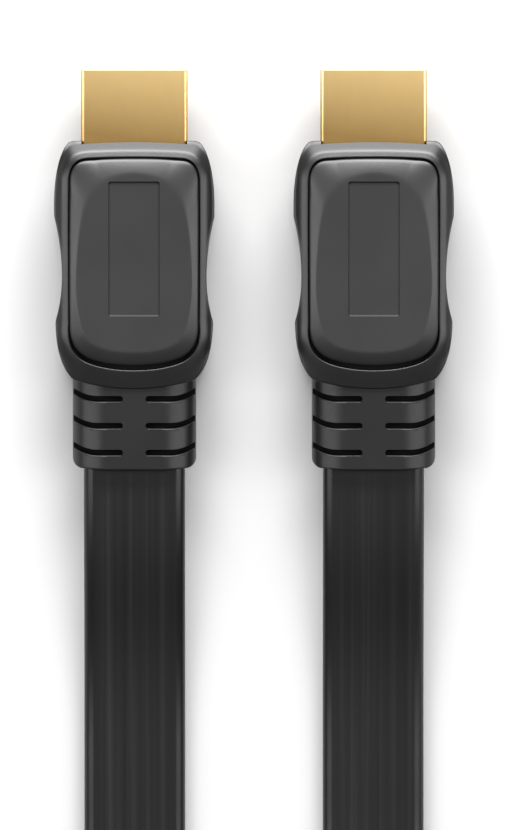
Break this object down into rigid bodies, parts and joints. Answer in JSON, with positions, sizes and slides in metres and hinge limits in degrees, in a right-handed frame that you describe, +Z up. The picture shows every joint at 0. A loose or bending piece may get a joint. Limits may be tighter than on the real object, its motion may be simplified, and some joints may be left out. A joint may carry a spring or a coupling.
{
  "type": "flat hdmi cable",
  "caption": "Flat video cable with a plug on each end; plugs side by side with waisted grips, the spare cable coiled on edge behind them.",
  "frame": {"origin": "on the floor, midway between the two plugs and halfway along them", "axes": "+Y out of the plugs' mouths, +Z up from the floor, +X from the left plug to the right plug"},
  "size_m": [0.1385, 0.2825, 0.0152],
  "materials": {
    "plug_shell": "satin gold plating",
    "contact": "bright gold plating",
    "insulator": "matte black moulding",
    "housing": "fine satin charcoal moulding",
    "cap": "fine satin charcoal moulding",
    "strain_relief": "soft satin moulding",
    "cable_jacket": "satin extruded jacket",
    "tie": "woven hook and loop strap"
  },
  "bodies": {
    "root": {"left_shell": "plug_shell", "left_insulator": "insulator", "left_contact_upper_1": "contact", "left_contact_upper_2": "contact", "left_contact_upper_3": "contact", "left_contact_upper_4": "contact", "left_contact_upper_5": "contact", "left_contact_upper_6": "contact", "left_contact_upper_7": "contact", "left_contact_upper_8": "contact", "left_contact_upper_9": "contact", "left_contact_upper_10": "contact", "left_contact_lower_1": "contact", "left_contact_lower_2": "contact", "left_contact_lower_3": "contact", "left_contact_lower_4": "contact", "left_contact_lower_5": "contact", "left_contact_lower_6": "contact", "left_contact_lower_7": "contact", "left_contact_lower_8": "contact", "left_contact_lower_9": "contact", "left_housing": "housing", "left_top_cap": "cap", "left_bottom_cap": "cap", "left_strain_relief": "strain_relief", "right_shell": "plug_shell", "right_insulator": "insulator", "right_contact_upper_1": "contact", "right_contact_upper_2": "contact", "right_contact_upper_3": "contact", "right_contact_upper_4": "contact", "right_contact_upper_5": "contact", "right_contact_upper_6": "contact", "right_contact_upper_7": "contact", "right_contact_upper_8": "contact", "right_contact_upper_9": "contact", "right_contact_upper_10": "contact", "right_contact_lower_1": "contact", "right_contact_lower_2": "contact", "right_contact_lower_3": "contact", "right_contact_lower_4": "contact", "right_contact_lower_5": "contact", "right_contact_lower_6": "contact", "right_contact_lower_7": "contact", "right_contact_lower_8": "contact", "right_contact_lower_9": "contact", "right_housing": "housing", "right_top_cap": "cap", "right_bottom_cap": "cap", "right_strain_relief": "strain_relief", "cable_run_left": "cable_jacket", "cable_run_right": "cable_jacket", "cable_coil": "cable_jacket", "cable_middle_bend": "cable_jacket", "tie_1": "tie", "tie_2": "tie"}
  },
  "joints": []
}
